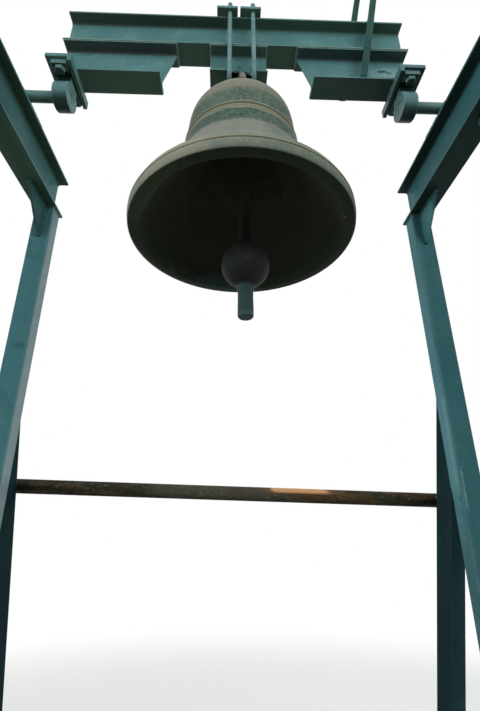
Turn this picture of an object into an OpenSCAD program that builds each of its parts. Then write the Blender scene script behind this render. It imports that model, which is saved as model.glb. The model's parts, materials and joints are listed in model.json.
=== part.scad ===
// A church bell that swings under a steel headstock between two braced side frames.
// The floor is at z = 0. X runs along the swing axis, Y from the front to the rear, Z up.

/* [Bell] */
// Diameter of the mouth
bell_d = 700; // [620:10:760]
// Height from the mouth to the flat top of the head
bell_h = 526; // [480:2:560]
// Thickness of the waist and the head
bell_wall = 19; // [15:1:24]
// Thickness of the sound bow, where the clapper strikes
bow_t = 52; // [42:1:58]
// Radius of the raised wires round the bell
wire_r = 3; // [2:0.5:4]
// How far the bell hangs to the right of the middle of the headstock
bell_shift = 15; // [0:1:20]

/* [Crown] */
// Height of the crown from the head to the headstock
crown_h = 164; // [156:2:190]
// Diameter of the crown's central post
crown_post_d = 56; // [44:2:64]
// Thickness of the crown's loops
loop_t = 30; // [24:1:34]
// Distance from the centre to the foot of a loop
loop_reach = 90; // [84:1:92]
// How much lower the front and rear loops lie than the left and right ones
loop_drop = 36; // [24:2:50]

/* [Clapper] */
// Depth of the clapper's pivot below the outside of the head
pivot_depth = 92; // [84:1:110]
// Distance from the pivot to the centre of the ball
clapper_len = 538; // [500:2:560]
// Diameter of the ball
ball_d = 145; // [120:1:150]
// Diameter of the flight below the ball
flight_d = 47; // [36:1:56]
// Distance from the centre of the ball to the end of the flight
flight_len = 176; // [150:2:190]
// Diameter of the clapper's pin
pin_d = 24; // [18:1:28]
// How far the clapper hangs to the right of the bell's axis
clapper_set = 12; // [0:1:14]

/* [Side frames] */
// Clear width between the flanges of the two rails
frame_gap = 1430; // [1400:10:1600]
// Height of the underside of the rails
rail_z = 2770; // [2500:10:3000]
// Length of a rail
rail_len = 720; // [680:10:800]
// Height of the rail section
rail_h = 180; // [160:5:200]
// Width of the rail section
rail_w = 90; // [82:2:100]
// Width of a post along X
post_w = 72; // [60:2:80]
// Depth of a post along Y
post_d = 62; // [50:2:70]
// Wall of the box posts
post_wall = 5; // [3:0.5:8]
// How far a rail runs past its posts
post_inset = 10; // [4:1:20]
// Length of each leg of a corner gusset
gusset_leg = 145; // [100:5:180]
// Thickness of a corner gusset
gusset_t = 10; // [6:1:14]

/* [Struts and tie tube] */
// Lean of the left struts from the vertical, in degrees
left_lean = 15; // [14:0.5:18]
// Lean of the right struts from the vertical, in degrees
right_lean = 19.5; // [17:0.5:22]
// Height at which the outer edge of a strut meets its post
strut_top = 2000; // [1850:10:2100]
// How far the left struts are set out from the inner sides of their posts
left_set = 11; // [0:1:20]
// Depth of the strut's channel section
strut_h = 100; // [90:2:110]
// Width of the strut's flanges
strut_w = 46; // [40:1:55]
// Outer diameter of the tie tube
tube_d = 48.3; // [42.3:0.5:60.3]
// Wall of the tie tube
tube_wall = 3.5; // [2.5:0.5:5]
// How far the middle of the tie tube lies below the tops of the struts
tube_below = 310; // [260:10:400]
// How much lower the tie tube lies at the right struts than at the left ones
tube_drop = 44; // [0:2:60]

/* [Feet] */
// Thickness of the foot plates
foot_t = 12; // [10:1:20]
// Side of a post's square foot plate
post_foot = 150; // [146:2:180]
// Distance between the anchor holes of a post's foot plate
post_holes = 110; // [108:2:116]
// Width of a strut's foot plate along X
strut_foot_w = 120; // [110:2:130]
// Distance along X between the anchor holes of a strut's foot plate
strut_holes_x = 80; // [70:2:90]
// Length of a strut's foot plate along Y
strut_foot = 200; // [190:5:240]
// Distance along Y between the anchor holes of a strut's foot plate
strut_holes = 160; // [150:2:166]
// Diameter of the anchor holes
anchor_d = 14; // [12:1:16]

/* [Shafts and bearings] */
// Diameter of the fixed shafts
shaft_d = 40; // [34:1:50]
// Height of the swing axis above the top of the rails
axis_rise = 60; // [54:1:75]
// Outer diameter of the bearing bosses
boss_d = 100; // [88:1:106]
// Length of a boss along the shaft
boss_len = 53; // [44:1:60]
// Gap between the outer end of a boss and the rail's flange
boss_gap = 70; // [60:1:90]

/* [Headstock] */
// Height of the headstock's underside above the swing axis
beam_rise = 85; // [82:1:100]
// Height of the beam section
beam_h = 160; // [140:5:180]
// Width of the beam section
beam_w = 90; // [82:2:96]
// Gap between the end of the upper beam and the rail's flange
beam_gap = 72; // [55:1:90]
// Height of the middle block, which is cut lower than the other two
centre_h = 140; // [130:5:150]
// Half length of the middle block
centre_half = 105; // [95:1:120]
// How far the middle block and the clamp plates sit to the right of the middle
block_shift = 5; // [0:1:10]
// Distance from the centre to the inner end of a side block, at its top
block_in = 225; // [200:5:250]
// How far the inner end of a side block is cut back at its foot
block_rake = 53; // [30:1:70]
// Thickness of the bracket's flat leg
bracket_t = 16; // [12:1:22]
// Thickness of the bracket's upright leg
bracket_leg_t = 15; // [10:1:15]
// Height of the bracket's upright leg
bracket_leg_h = 33; // [24:1:40]
// Width of the bracket along Y
bracket_w = 190; // [184:2:210]
// Width across the flats of the boss bolts
bolt_af = 32; // [24:1:36]
// Distance of the boss bolts from the axis, along Y
bolt_y = 62; // [58:1:66]

/* [Hangers and lever] */
// Diameter of the hanger rods
rod_d = 16; // [12:1:18]
// Distance from the centre to each hanger, along X
rod_x = 44; // [42:1:47]
// Gap between a hanger rod and the flanges' edges
rod_gap = 3; // [2:0.5:10]
// Side of the square clamp plates
clamp_x = 79; // [66:1:80]
// Length of the clamp plates across the beam
clamp_y = 150; // [150:2:180]
// Thickness of the clamp plates
clamp_t = 12; // [8:1:20]
// Width of the lever bars
lever_w = 25; // [20:1:40]
// Thickness of the lever bars
lever_t = 10; // [6:1:14]
// Height of the lever bars above the headstock
lever_up = 480; // [300:10:600]
// Lean of the lever bars toward the side, in degrees
lever_lean = 10.8; // [6:0.2:13]
// Distance from the centre to the foot of the front lever bar
lever_x = 458; // [430:2:480]
// How far the rear lever bar stands nearer to the centre
lever_stagger = 52; // [0:2:80]

/* [Hidden] */

$fn = 72;
teal = [0.27, 0.42, 0.44];
rust = [0.36, 0.22, 0.14];
bronze = [0.42, 0.42, 0.34];
iron = [0.2, 0.2, 0.21];

// Clearances: a touching seat, a turning fit and a small overlap for cutting tools
seat_gap = 0.3;
turn_gap = 0.08;
cut = 1;

// Thickness of the webs and flanges of the rolled sections
rail_web = 6;
rail_flange = 9;
beam_web = 6;
beam_flange = 8;
strut_web = 5;
strut_flange = 7.5;

// Radius of the fillets between the webs and the flanges
rail_root = 9;
beam_root = 8;
strut_root = 6;

// Places that follow from the driving sizes
rail_x = frame_gap / 2 + rail_w / 2;
rail_top = rail_z + rail_h;
axis_z = rail_top + axis_rise;
beam_z = axis_z + beam_rise;
upper_z = beam_z + beam_h;
centre_z = upper_z - centre_h;
head_z = centre_z - crown_h;
mouth_z = head_z - bell_h;
pivot_z = head_z - pivot_depth;
post_out = rail_len / 2 - post_inset;
post_in = post_out - post_d;
strut_x = rail_x - post_w / 2;
tube_z = strut_top - tube_below;
tube_flat = 2;
tube_past = 38;
function strut_back(lean, z) = post_out + tan(lean) * (strut_top - z);
function strut_mid(lean, z) = strut_back(lean, z) - strut_h / cos(lean) / 2;

// The headstock and its bearings
boss_clear = 5;
bracket_lap = 19;
boss_foot_t = 18;
boss_foot_w = 170;
boss_neck_w = 66;
boss_round = 6;
beam_half = frame_gap / 2 - beam_gap;
boss_out = frame_gap / 2 - boss_gap;
boss_in = boss_out - boss_len;
bracket_in = boss_in - bracket_leg_t - boss_clear;
bracket_out = boss_out + bracket_lap;
bracket_z = beam_z + beam_flange - bracket_t;
boss_foot_z = bracket_z - boss_foot_t;
bolt_h = 13;
recess_w = 12;
recess_t = 3;
web_step = 28;
block_web_out = bracket_in + web_step;
shaft_in = 5;
shaft_proud = 6;

// The shaft seats on the rails
seat_l = 64;
seat_r = 34;
seat_base_w = 84;
seat_base_l = 150;
seat_base_t = 14;

// The hangers
rod_y = beam_w / 2 + rod_gap + rod_d / 2;
clamp_z = upper_z + beam_h;
rod_end = 42;
rod_top = clamp_z + clamp_t + rod_end;
rod_hole_gap = 0.5;
nut_t = 14;
nut_af = 26;
notch_half = 47;
notch_web = 12;
notch_up = 8;

// The crown's loops, each a straight leg and a quarter turn into the central post
loop_r = loop_t / 2;
loop_bend = 62;
loop_stop = 14;
loop_leg = crown_h - seat_gap - loop_r - loop_bend;
loop_inner = loop_bend - loop_r - rod_d / 2 - seat_gap;
hanger_z = head_z + loop_leg + sqrt(pow(loop_inner, 2) - pow(rod_x - loop_reach + loop_bend, 2));
hanger_bend = 30;

// The clapper and its staple
pin_r = pin_d / 2;
eye_wall = 18;
eye_r = pin_r + eye_wall;
eye_w = 36;
eye_gap = 3;
cheek_t = 14;
cheek_w = 52;
staple_r = 52;
staple_t = 12;
shank_top_r = 14;
shank_low_r = 19;
shank_gap = 4;
pin_proud = 6;
flight_round = 8;

// The outline of the bell, from the lip to the edge of the flat head:
// shares of the mouth's radius, of the height, and of the extra thickness at the bow
stations = [
  [1.000, 0.040, 0.95], [0.976, 0.100, 1.00], [0.904, 0.160, 0.75], [0.820, 0.219, 0.50],
  [0.736, 0.286, 0.33], [0.654, 0.379, 0.18], [0.596, 0.479, 0.08], [0.558, 0.585, 0.02],
  [0.533, 0.705, 0.00], [0.517, 0.811, 0.00], [0.498, 0.880, 0.00], [0.458, 0.934, 0.00],
  [0.398, 0.972, 0.00], [0.330, 0.994, 0.00]
];
lip_r = 0.992;
lip_inner = 0.897;
head_rim = 8;
last = len(stations) - 1;

// Heights of the raised wires as shares of the bell's height
wires = [0.065, 0.637, 0.667];

outer_pts = [for (s = stations) [s[0] * bell_d / 2, s[1] * bell_h]];
function step_dir(p, i) = p[min(i + 1, len(p) - 1)] - p[max(i - 1, 0)];
function wall_at(i) = bell_wall + (bow_t - bell_wall) * stations[i][2];
function inward(p, i) = let (d = step_dir(p, i)) [-d[1], d[0]] / norm(d);
inner_pts = [for (i = [1:last]) outer_pts[i] + inward(outer_pts, i) * wall_at(i)];

// A smooth curve through the points, four short steps from each to the next
function pick(p, i) = p[max(0, min(len(p) - 1, i))];
function blend(a, b, c, d, t) =
  0.5 * (2 * b + (c - a) * t + (2 * a - 5 * b + 4 * c - d) * t * t + (3 * b - a - 3 * c + d) * t * t * t);
function smooth(p, steps) = concat(
  [for (i = [0:len(p) - 2], k = [0:steps - 1])
    blend(pick(p, i - 1), pick(p, i), pick(p, i + 1), pick(p, i + 2), k / steps)],
  [p[len(p) - 1]]
);
outer_line = smooth(outer_pts, 4);
inner_line = smooth(inner_pts, 4);
function reversed(p) = [for (i = [len(p) - 1:-1:0]) p[i]];
roof_h = inner_line[len(inner_line) - 1][1];
staple_top = mouth_z + roof_h - seat_gap;
outer_radii = [for (p = outer_line) [p[1], p[0]]];

// The fillet in a corner at the origin, between +X and +Y
module root_fillet(r) {
  difference() {
    translate([-seat_gap, -seat_gap])
      square(r + seat_gap);
    translate([r, r])
      circle(r = r, $fn = 40);
  }
}

// Rolled sections
module i_section(h, w, web, flange, root) {
  polygon([
    [-w / 2, 0], [w / 2, 0], [w / 2, flange], [web / 2, flange],
    [web / 2, h - flange], [w / 2, h - flange], [w / 2, h], [-w / 2, h],
    [-w / 2, h - flange], [-web / 2, h - flange], [-web / 2, flange], [-w / 2, flange]
  ]);
  for (side = [0, 1], end = [0, 1])
    translate([0, h / 2])
      mirror([side, 0])
        mirror([0, end])
          translate([web / 2, flange - h / 2])
            root_fillet(root);
}

module beam_section() {
  i_section(beam_h, beam_w, beam_web, beam_flange, beam_root);
}

// Lays a profile drawn in Y and Z out along X
module along_x(from, to) {
  translate([from, 0, 0])
    rotate([90, 0, 90])
      linear_extrude(to - from)
        children();
}

// Lays a profile drawn in X and Z out along Y
module along_y(length) {
  translate([0, length / 2, 0])
    rotate([90, 0, 0])
      linear_extrude(length)
        children();
}

module mirror_x() {
  mirror([1, 0, 0]) children();
}

module mirror_y() {
  mirror([0, 1, 0]) children();
}

// Side frame
module rail() {
  color(teal)
    translate([rail_x, 0, rail_z])
      along_y(rail_len)
        i_section(rail_h, rail_w, rail_web, rail_flange, rail_root);
}

module post() {
  color(teal)
    difference() {
      translate([rail_x - post_w / 2, post_in, foot_t])
        cube([post_w, post_d, rail_z - foot_t]);
      translate([rail_x - post_w / 2 + post_wall, post_in + post_wall, foot_t - cut])
        cube([post_w - 2 * post_wall, post_d - 2 * post_wall, rail_z - foot_t + 2 * cut]);
    }
}

// A triangular plate in the corner between the rail and the inner side of a post
module gusset() {
  tip = gusset_t;
  color(teal)
    along_x(rail_x - gusset_t / 2, rail_x + gusset_t / 2)
      polygon([
        [post_in, rail_z], [post_in - gusset_leg, rail_z], [post_in - gusset_leg, rail_z - tip],
        [post_in - tip, rail_z - gusset_leg], [post_in, rail_z - gusset_leg]
      ]);
}

// The rolled channel of a strut, its web along Y and its flanges toward +X
module channel_section() {
  polygon([
    [0, 0], [0, -strut_h], [strut_w, -strut_h], [strut_w, strut_flange - strut_h],
    [strut_web, strut_flange - strut_h], [strut_web, -strut_flange],
    [strut_w, -strut_flange], [strut_w, 0]
  ]);
  translate([strut_web, -strut_flange])
    mirror([0, 1])
      root_fillet(strut_root);
  translate([strut_web, strut_flange - strut_h])
    root_fillet(strut_root);
}

// Leans back from the post down to its foot plate, and is cut to both
module strut(lean, set_out) {
  color(teal)
    intersection() {
      translate([strut_x + set_out, post_out, strut_top])
        rotate([lean, 0, 0])
          translate([0, 0, -2 * strut_top])
            linear_extrude(3 * strut_top)
              channel_section();
      translate([strut_x + set_out - cut, post_out, foot_t])
        cube([strut_w + 2 * cut, strut_top, strut_top]);
    }
}

module foot_plate(w, l, hole_x, hole_y) {
  difference() {
    translate([-w / 2, -l / 2, 0])
      cube([w, l, foot_t]);
    for (x = [-1, 1], y = [-1, 1])
      translate([x * hole_x / 2, y * hole_y / 2, -cut])
        cylinder(d = anchor_d, h = foot_t + 2 * cut);
  }
}

module feet(lean, set_out) {
  color(teal) {
    translate([rail_x, (post_in + post_out) / 2, 0])
      foot_plate(post_foot, post_foot, post_holes, post_holes);
    translate([strut_x + set_out + strut_w / 2, strut_mid(lean, foot_t), 0])
      foot_plate(strut_foot_w, strut_foot, strut_holes_x, strut_holes);
  }
}

// The room of a strut, cut out of the tube so that it lies flat against the outer flange
module strut_room(lean, set_out) {
  translate([strut_x + set_out - seat_gap, post_out, strut_top])
    rotate([lean, 0, 0])
      translate([0, -strut_h, -2 * strut_top])
        cube([strut_w + 2 * seat_gap, strut_h + seat_gap, 3 * strut_top]);
}

// The tube runs behind the rear struts from side to side, and slopes down to the right
module tie_tube() {
  left_x = strut_x + left_set + strut_w / 2;
  left_z = tube_z + tube_drop / 2;
  right_z = tube_z - tube_drop / 2;
  left_y = strut_back(left_lean, left_z) + (tube_d / 2 - tube_flat) / cos(left_lean);
  right_y = strut_back(right_lean, right_z) + (tube_d / 2 - tube_flat) / cos(right_lean);
  span = left_x + strut_x + strut_w / 2;
  turn = atan((right_y - left_y) / span);
  slope = atan(tube_drop * cos(turn) / span);
  tube_long = norm([span, right_y - left_y, tube_drop]) + 2 * tube_past;
  color(rust)
    difference() {
      translate([-left_x, left_y, left_z])
        rotate([0, 90 + slope, turn])
          translate([0, 0, -tube_past])
            difference() {
              cylinder(d = tube_d, h = tube_long);
              translate([0, 0, -cut])
                cylinder(d = tube_d - 2 * tube_wall, h = tube_long + 2 * cut);
            }
      mirror_x()
        strut_room(left_lean, left_set);
      strut_room(right_lean, 0);
    }
}

// The block on top of a rail that holds the fixed shaft
module shaft_seat() {
  color(teal)
    difference() {
      union() {
        translate([rail_x - seat_base_w / 2, -seat_base_l / 2, rail_top])
          cube([seat_base_w, seat_base_l, seat_base_t]);
        translate([rail_x - seat_l / 2, -seat_r, rail_top])
          cube([seat_l, 2 * seat_r, axis_rise]);
        translate([rail_x - seat_l / 2, 0, axis_z])
          rotate([0, 90, 0])
            cylinder(r = seat_r, h = seat_l);
      }
      translate([rail_x - seat_l, 0, axis_z])
        rotate([0, 90, 0])
          cylinder(d = shaft_d + 2 * turn_gap, h = 2 * seat_l);
    }
}

module shaft() {
  inner_end = boss_in + shaft_in;
  color(teal)
    translate([inner_end, 0, axis_z])
      rotate([0, 90, 0])
        cylinder(d = shaft_d, h = rail_x + seat_l / 2 + shaft_proud - inner_end);
}

// Headstock
module upper_beam() {
  color(teal)
    translate([0, 0, upper_z])
      along_x(-beam_half, beam_half)
        beam_section();
}

// A side block under the upper beam, raked at both ends
module block() {
  color(teal)
    intersection() {
      translate([0, 0, beam_z])
        along_x(0, beam_half)
          beam_section();
      translate([0, beam_w, beam_z])
        rotate([90, 0, 0])
          linear_extrude(2 * beam_w)
            polygon([
              [block_in + block_rake, 0], [bracket_in, 0], [bracket_in, beam_flange],
              [block_web_out, beam_flange], [beam_half, beam_h], [block_in, beam_h]
            ]);
    }
}

// The middle block, notched below over the crown
module centre_block() {
  color(teal)
    difference() {
      translate([0, 0, centre_z])
        along_x(block_shift - centre_half, block_shift + centre_half)
          i_section(centre_h, beam_w, beam_web, beam_flange, beam_root);
      for (side = [-1, 1])
        translate([bell_shift - notch_half, side * (notch_web + beam_w / 2) - beam_w / 2, centre_z - cut])
          cube([2 * notch_half, beam_w, beam_flange + notch_up + cut]);
    }
}

// An angle: the flat leg carries the boss, the upright leg covers the end of the block's foot
module bracket() {
  color(teal)
    along_y(bracket_w)
      polygon([
        [bracket_in, bracket_z + bracket_t - bracket_leg_h],
        [bracket_in + bracket_leg_t, bracket_z + bracket_t - bracket_leg_h],
        [bracket_in + bracket_leg_t, bracket_z], [bracket_out, bracket_z],
        [bracket_out, bracket_z + bracket_t], [bracket_in, bracket_z + bracket_t]
      ]);
}

// A round housing with rounded rims, its axis along X
module boss_round_body() {
  r = boss_d / 2;
  translate([boss_in, 0, axis_z])
    rotate([90, 0, 90])
      rotate_extrude()
        union() {
          square([r, boss_len - boss_round]);
          square([r - boss_round, boss_len]);
          translate([r - boss_round, boss_len - boss_round])
            circle(r = boss_round);
        }
}

// A bearing housing bolted under the bracket, with a ring recess in its inner face
module boss() {
  color(teal)
    difference() {
      union() {
        boss_round_body();
        translate([boss_in, -boss_neck_w / 2, axis_z])
          cube([boss_len - boss_round, boss_neck_w, boss_foot_z - axis_z + cut]);
        translate([boss_in, -boss_foot_w / 2, boss_foot_z])
          cube([boss_len, boss_foot_w, boss_foot_t]);
        for (side = [-1, 1])
          translate([boss_in + boss_len / 2, side * bolt_y, boss_foot_z - bolt_h])
            cylinder(d = bolt_af / cos(30), h = bolt_h + cut, $fn = 6);
      }
      translate([boss_in - cut, 0, axis_z])
        rotate([0, 90, 0])
          cylinder(d = shaft_d + 2 * turn_gap, h = boss_len + 2 * cut);
      translate([boss_in - cut, 0, axis_z])
        rotate([0, 90, 0])
          cylinder(d = shaft_d + 2 * recess_w, h = cut + recess_t);
    }
}

// The plates sit a little off the rods that pass through them
module clamp_plate(x) {
  color(teal)
    difference() {
      translate([x + block_shift - clamp_x / 2, -clamp_y / 2, clamp_z])
        cube([clamp_x, clamp_y, clamp_t]);
      for (side = [-1, 1])
        translate([x + bell_shift, side * rod_y, clamp_z - cut])
          cylinder(d = rod_d + 2 * rod_hole_gap, h = clamp_t + 2 * cut);
    }
}

// A rod bent into a U under a loop of the crown, its legs nutted above the clamp plate
module hanger(x) {
  color(teal)
    translate([x + bell_shift, 0, 0]) {
      for (side = [-1, 1]) {
        translate([0, side * rod_y, hanger_z + hanger_bend])
          cylinder(d = rod_d, h = rod_top - hanger_z - hanger_bend);
        translate([0, side * rod_y, clamp_z + clamp_t])
          cylinder(d = nut_af / cos(30), h = nut_t, $fn = 6);
      }
      for (turn = [0, 180])
        rotate([0, 0, turn])
          translate([0, rod_y - hanger_bend, hanger_z + hanger_bend])
            rotate([0, 90, 0])
              rotate_extrude(angle = 90)
                translate([hanger_bend, 0])
                  circle(d = rod_d);
      translate([0, rod_y - hanger_bend, hanger_z])
        rotate([90, 0, 0])
          cylinder(d = rod_d, h = 2 * (rod_y - hanger_bend));
    }
}

// A flat bar welded to the edges of the flanges and leaning out toward the side
module lever_bar(x) {
  base = beam_z + beam_flange;
  rise = clamp_z + lever_up - base;
  shift = rise * tan(lever_lean);
  color(teal)
    translate([0, beam_w / 2 + lever_t, 0])
      rotate([90, 0, 0])
        linear_extrude(lever_t)
          polygon([
            [x - lever_w / 2, base], [x + lever_w / 2, base],
            [x + lever_w / 2 + shift, base + rise], [x - lever_w / 2 + shift, base + rise]
          ]);
}

// Bell
module bell_outline() {
  polygon(concat(
    [[lip_inner * bell_d / 2, 0], [lip_r * bell_d / 2, 0]],
    outer_line,
    [[outer_line[len(outer_line) - 1][0] - head_rim, bell_h], [0, bell_h], [0, roof_h]],
    reversed(inner_line)
  ));
}

module bell() {
  color(bronze)
    translate([bell_shift, 0, mouth_z])
      rotate_extrude($fn = 120)
        union() {
          bell_outline();
          for (w = wires)
            translate([lookup(w * bell_h, outer_radii), w * bell_h])
              circle(r = wire_r, $fn = 24);
        }
}

// One loop of the crown: up from the head, then round into the central post as far as "end"
module crown_loop(lift, end) {
  translate([loop_reach, 0, 0])
    cylinder(r = loop_r, h = loop_leg + lift);
  translate([loop_reach - loop_bend, 0, loop_leg + lift])
    rotate([90, 0, 0])
      rotate_extrude(angle = 90)
        translate([loop_bend, 0])
          circle(r = loop_r);
  translate([end, 0, loop_leg + lift + loop_bend])
    rotate([0, 90, 0])
      cylinder(r = loop_r, h = loop_reach - loop_bend - end);
}

module bell_crown() {
  color(bronze)
    translate([bell_shift, 0, head_z])
      union() {
        cylinder(d = crown_post_d, h = crown_h);
        for (turn = [0, 180])
          rotate([0, 0, turn])
            crown_loop(0, 0);
        for (turn = [90, 270])
          rotate([0, 0, turn])
            crown_loop(-loop_drop, loop_stop);
      }
}

// Clapper
module clapper_staple() {
  cheek_in = eye_w / 2 + eye_gap;
  pin_half = cheek_in + cheek_t + pin_proud;
  color(iron)
    translate([bell_shift + clapper_set, 0, 0]) {
      translate([0, 0, staple_top - staple_t])
        cylinder(r = staple_r, h = staple_t);
      for (side = [-1, 1])
        translate([side * (cheek_in + cheek_t / 2), 0, 0]) {
          translate([-cheek_t / 2, -cheek_w / 2, pivot_z])
            cube([cheek_t, cheek_w, staple_top - staple_t - pivot_z + cut]);
          translate([-cheek_t / 2, 0, pivot_z])
            rotate([0, 90, 0])
              cylinder(d = cheek_w, h = cheek_t);
        }
      translate([-pin_half, 0, pivot_z])
        rotate([0, 90, 0])
          cylinder(r = pin_r, h = 2 * pin_half);
    }
}

module clapper() {
  color(iron)
    translate([bell_shift + clapper_set, 0, pivot_z])
      difference() {
        union() {
          translate([-eye_w / 2, 0, 0])
            rotate([0, 90, 0])
              cylinder(r = eye_r, h = eye_w);
          translate([0, 0, -clapper_len])
            cylinder(r1 = shank_low_r, r2 = shank_top_r, h = clapper_len - pin_r - shank_gap);
          translate([0, 0, -clapper_len])
            sphere(d = ball_d);
          translate([0, 0, flight_round - clapper_len - flight_len])
            cylinder(d = flight_d, h = flight_len - flight_round);
          translate([0, 0, -clapper_len - flight_len])
            cylinder(d1 = flight_d - 2 * flight_round, d2 = flight_d, h = flight_round);
        }
        translate([-eye_w, 0, 0])
          rotate([0, 90, 0])
            cylinder(r = pin_r + turn_gap, h = 2 * eye_w);
      }
}

mirror_x() rail();  // left_rail
rail();  // right_rail
mirror_x() mirror_y() post();  // left_front_post
mirror_x() post();  // left_rear_post
mirror_y() post();  // right_front_post
post();  // right_rear_post
mirror_x() mirror_y() gusset();  // left_front_gusset
mirror_x() gusset();  // left_rear_gusset
mirror_y() gusset();  // right_front_gusset
gusset();  // right_rear_gusset
mirror_x() mirror_y() strut(left_lean, left_set);  // left_front_strut
mirror_x() strut(left_lean, left_set);  // left_rear_strut
mirror_y() strut(right_lean, 0);  // right_front_strut
strut(right_lean, 0);  // right_rear_strut
mirror_x() mirror_y() feet(left_lean, left_set);  // left_front_feet
mirror_x() feet(left_lean, left_set);  // left_rear_feet
mirror_y() feet(right_lean, 0);  // right_front_feet
feet(right_lean, 0);  // right_rear_feet
tie_tube();
mirror_x() shaft_seat();  // left_shaft_seat
shaft_seat();  // right_shaft_seat
mirror_x() shaft();  // left_shaft
shaft();  // right_shaft
upper_beam();
mirror_x() block();  // left_block
centre_block();
block();  // right_block
mirror_x() bracket();  // left_bracket
bracket();  // right_bracket
mirror_x() boss();  // left_boss
boss();  // right_boss
clamp_plate(-rod_x);  // left_clamp_plate
clamp_plate(rod_x);  // right_clamp_plate
hanger(-rod_x);  // left_hanger
hanger(rod_x);  // right_hanger
mirror_y() lever_bar(lever_x);  // front_lever_bar
lever_bar(lever_x - lever_stagger);  // rear_lever_bar
bell();
bell_crown();
clapper_staple();
clapper();
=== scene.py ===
import json
from contextlib import contextmanager
from functools import reduce
from math import cos, pi, radians, sin, sqrt

import bmesh
import bpy
from mathutils import Matrix, Vector


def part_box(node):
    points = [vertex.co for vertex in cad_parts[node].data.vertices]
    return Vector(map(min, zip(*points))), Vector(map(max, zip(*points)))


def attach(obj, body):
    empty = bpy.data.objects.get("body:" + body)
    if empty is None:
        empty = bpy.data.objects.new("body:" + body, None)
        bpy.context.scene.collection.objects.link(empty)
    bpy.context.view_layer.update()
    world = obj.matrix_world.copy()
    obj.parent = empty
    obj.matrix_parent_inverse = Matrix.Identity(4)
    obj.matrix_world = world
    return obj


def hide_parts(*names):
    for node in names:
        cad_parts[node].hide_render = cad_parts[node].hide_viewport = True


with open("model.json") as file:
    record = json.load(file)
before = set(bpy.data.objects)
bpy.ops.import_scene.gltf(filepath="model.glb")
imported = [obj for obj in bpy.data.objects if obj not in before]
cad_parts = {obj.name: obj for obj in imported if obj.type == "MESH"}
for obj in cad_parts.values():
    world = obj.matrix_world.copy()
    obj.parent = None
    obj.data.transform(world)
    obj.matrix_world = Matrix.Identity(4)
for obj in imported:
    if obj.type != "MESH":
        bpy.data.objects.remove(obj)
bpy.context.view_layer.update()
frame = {"nodes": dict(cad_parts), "record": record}
scene = bpy.context.scene
slotOf = {part["node"]: part["material_slot"] for part in frame["record"]["subparts"]}
bodyOf = {node: body for body, nodes in frame["record"]["behaviour"]["bodies"].items() for node in nodes}


def newObject(name, data):
    item = bpy.data.objects.new(name, data)
    scene.collection.objects.link(item)
    return item


# The camera stands under the front edge of the bell and looks up past it
cameraSetup = {
    "place": (-0.025, -1.10565, 1.6),
    "tilt": 21.2,  # degrees above the level
    "turn": 1.85,  # degrees toward +X
    "lens": 21.57,
    "sensor": 36.0,  # height of the frame
    "nearest": 0.02,
}


def makeCamera(place, tilt, turn, lens, sensor, nearest):
    data = bpy.data.cameras.new("camera")
    data.sensor_fit = "VERTICAL"
    data.sensor_height, data.lens, data.clip_start = sensor, lens, nearest
    scene.camera = newObject("camera", data)
    scene.camera.location = place
    scene.camera.rotation_euler = (radians(90 + tilt), 0, radians(-turn))


makeCamera(**cameraSetup)
scene.view_settings.view_transform = "Standard"


# Short ways to build node trees; the tree is the one that a given socket belongs to

def isSocket(value):
    return isinstance(value, bpy.types.NodeSocket)


def treeOf(values):
    return next(value.id_data for value in values if isSocket(value))


def wire(sockets, values):
    for key, value in values.items():
        if isSocket(value):
            value.id_data.links.new(value, sockets[key])
        else:
            sockets[key].default_value = value


def addNode(tree, kind, inputs=None, **settings):
    node = tree.nodes.new(kind)
    for key, value in settings.items():
        setattr(node, key, value)
    wire(node.inputs, inputs or {})
    return node


def outOf(tree, kind, inputs=None, **settings):
    return addNode(tree, kind, inputs, **settings).outputs[0]


def calc(operation, *values):
    return outOf(treeOf(values), "ShaderNodeMath", dict(enumerate(values)), operation=operation)


def plus(*values):
    return reduce(lambda first, second: calc("ADD", first, second), values)


def minus(first, second):
    return calc("SUBTRACT", first, second)


def times(*values):
    return reduce(lambda first, second: calc("MULTIPLY", first, second), values)


def vectorCalc(operation, *values, result="Vector"):
    inputs = dict(enumerate(values))
    return addNode(treeOf(values), "ShaderNodeVectorMath", inputs, operation=operation).outputs[result]


def lengthOf(vector):
    return vectorCalc("LENGTH", vector, result="Value")


def stretch(place, factors):
    return vectorCalc("MULTIPLY", place, factors)


def axes(vector):
    return addNode(vector.id_data, "ShaderNodeSeparateXYZ", {0: vector}).outputs


def opaque(colour):
    return (*colour[:3], 1)


def blend(amount, first, second, mode="MIX"):
    mixer = addNode(treeOf((amount, first, second)), "ShaderNodeMix", data_type="RGBA", blend_type=mode)
    first, second = (colour if isSocket(colour) else opaque(colour) for colour in (first, second))
    wire(mixer.inputs, {0: amount, 6: first, 7: second})
    return mixer.outputs[2]


def tint(base, colour, *masks):
    return blend(times(*masks), base, colour)


def ease(value, low, high, start=0.0, finish=1.0):
    inputs = {0: value, 1: low, 2: high, 3: start, 4: finish}
    return outOf(value.id_data, "ShaderNodeMapRange", inputs, interpolation_type="SMOOTHSTEP")


def noise(place, scale, detail=3.0, rough=0.55, warp=0.0):
    inputs = {"Vector": place, "Scale": scale, "Detail": detail, "Roughness": rough, "Distortion": warp}
    return outOf(place.id_data, "ShaderNodeTexNoise", inputs)


def colourSteps(value, stops):
    ramp = addNode(value.id_data, "ShaderNodeValToRGB", {0: value})
    points = ramp.color_ramp.elements
    points.remove(points[-1])
    points[0].position, points[0].color = stops[0][0], opaque(stops[0][1])
    for place, colour in stops[1:]:
        points.new(place).color = opaque(colour)
    return ramp.outputs[0]


def objectPlace(tree):
    return addNode(tree, "ShaderNodeTexCoord").outputs["Object"]


def attribute(tree, name):
    return addNode(tree, "ShaderNodeAttribute", attribute_name=name).outputs["Fac"]


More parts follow.
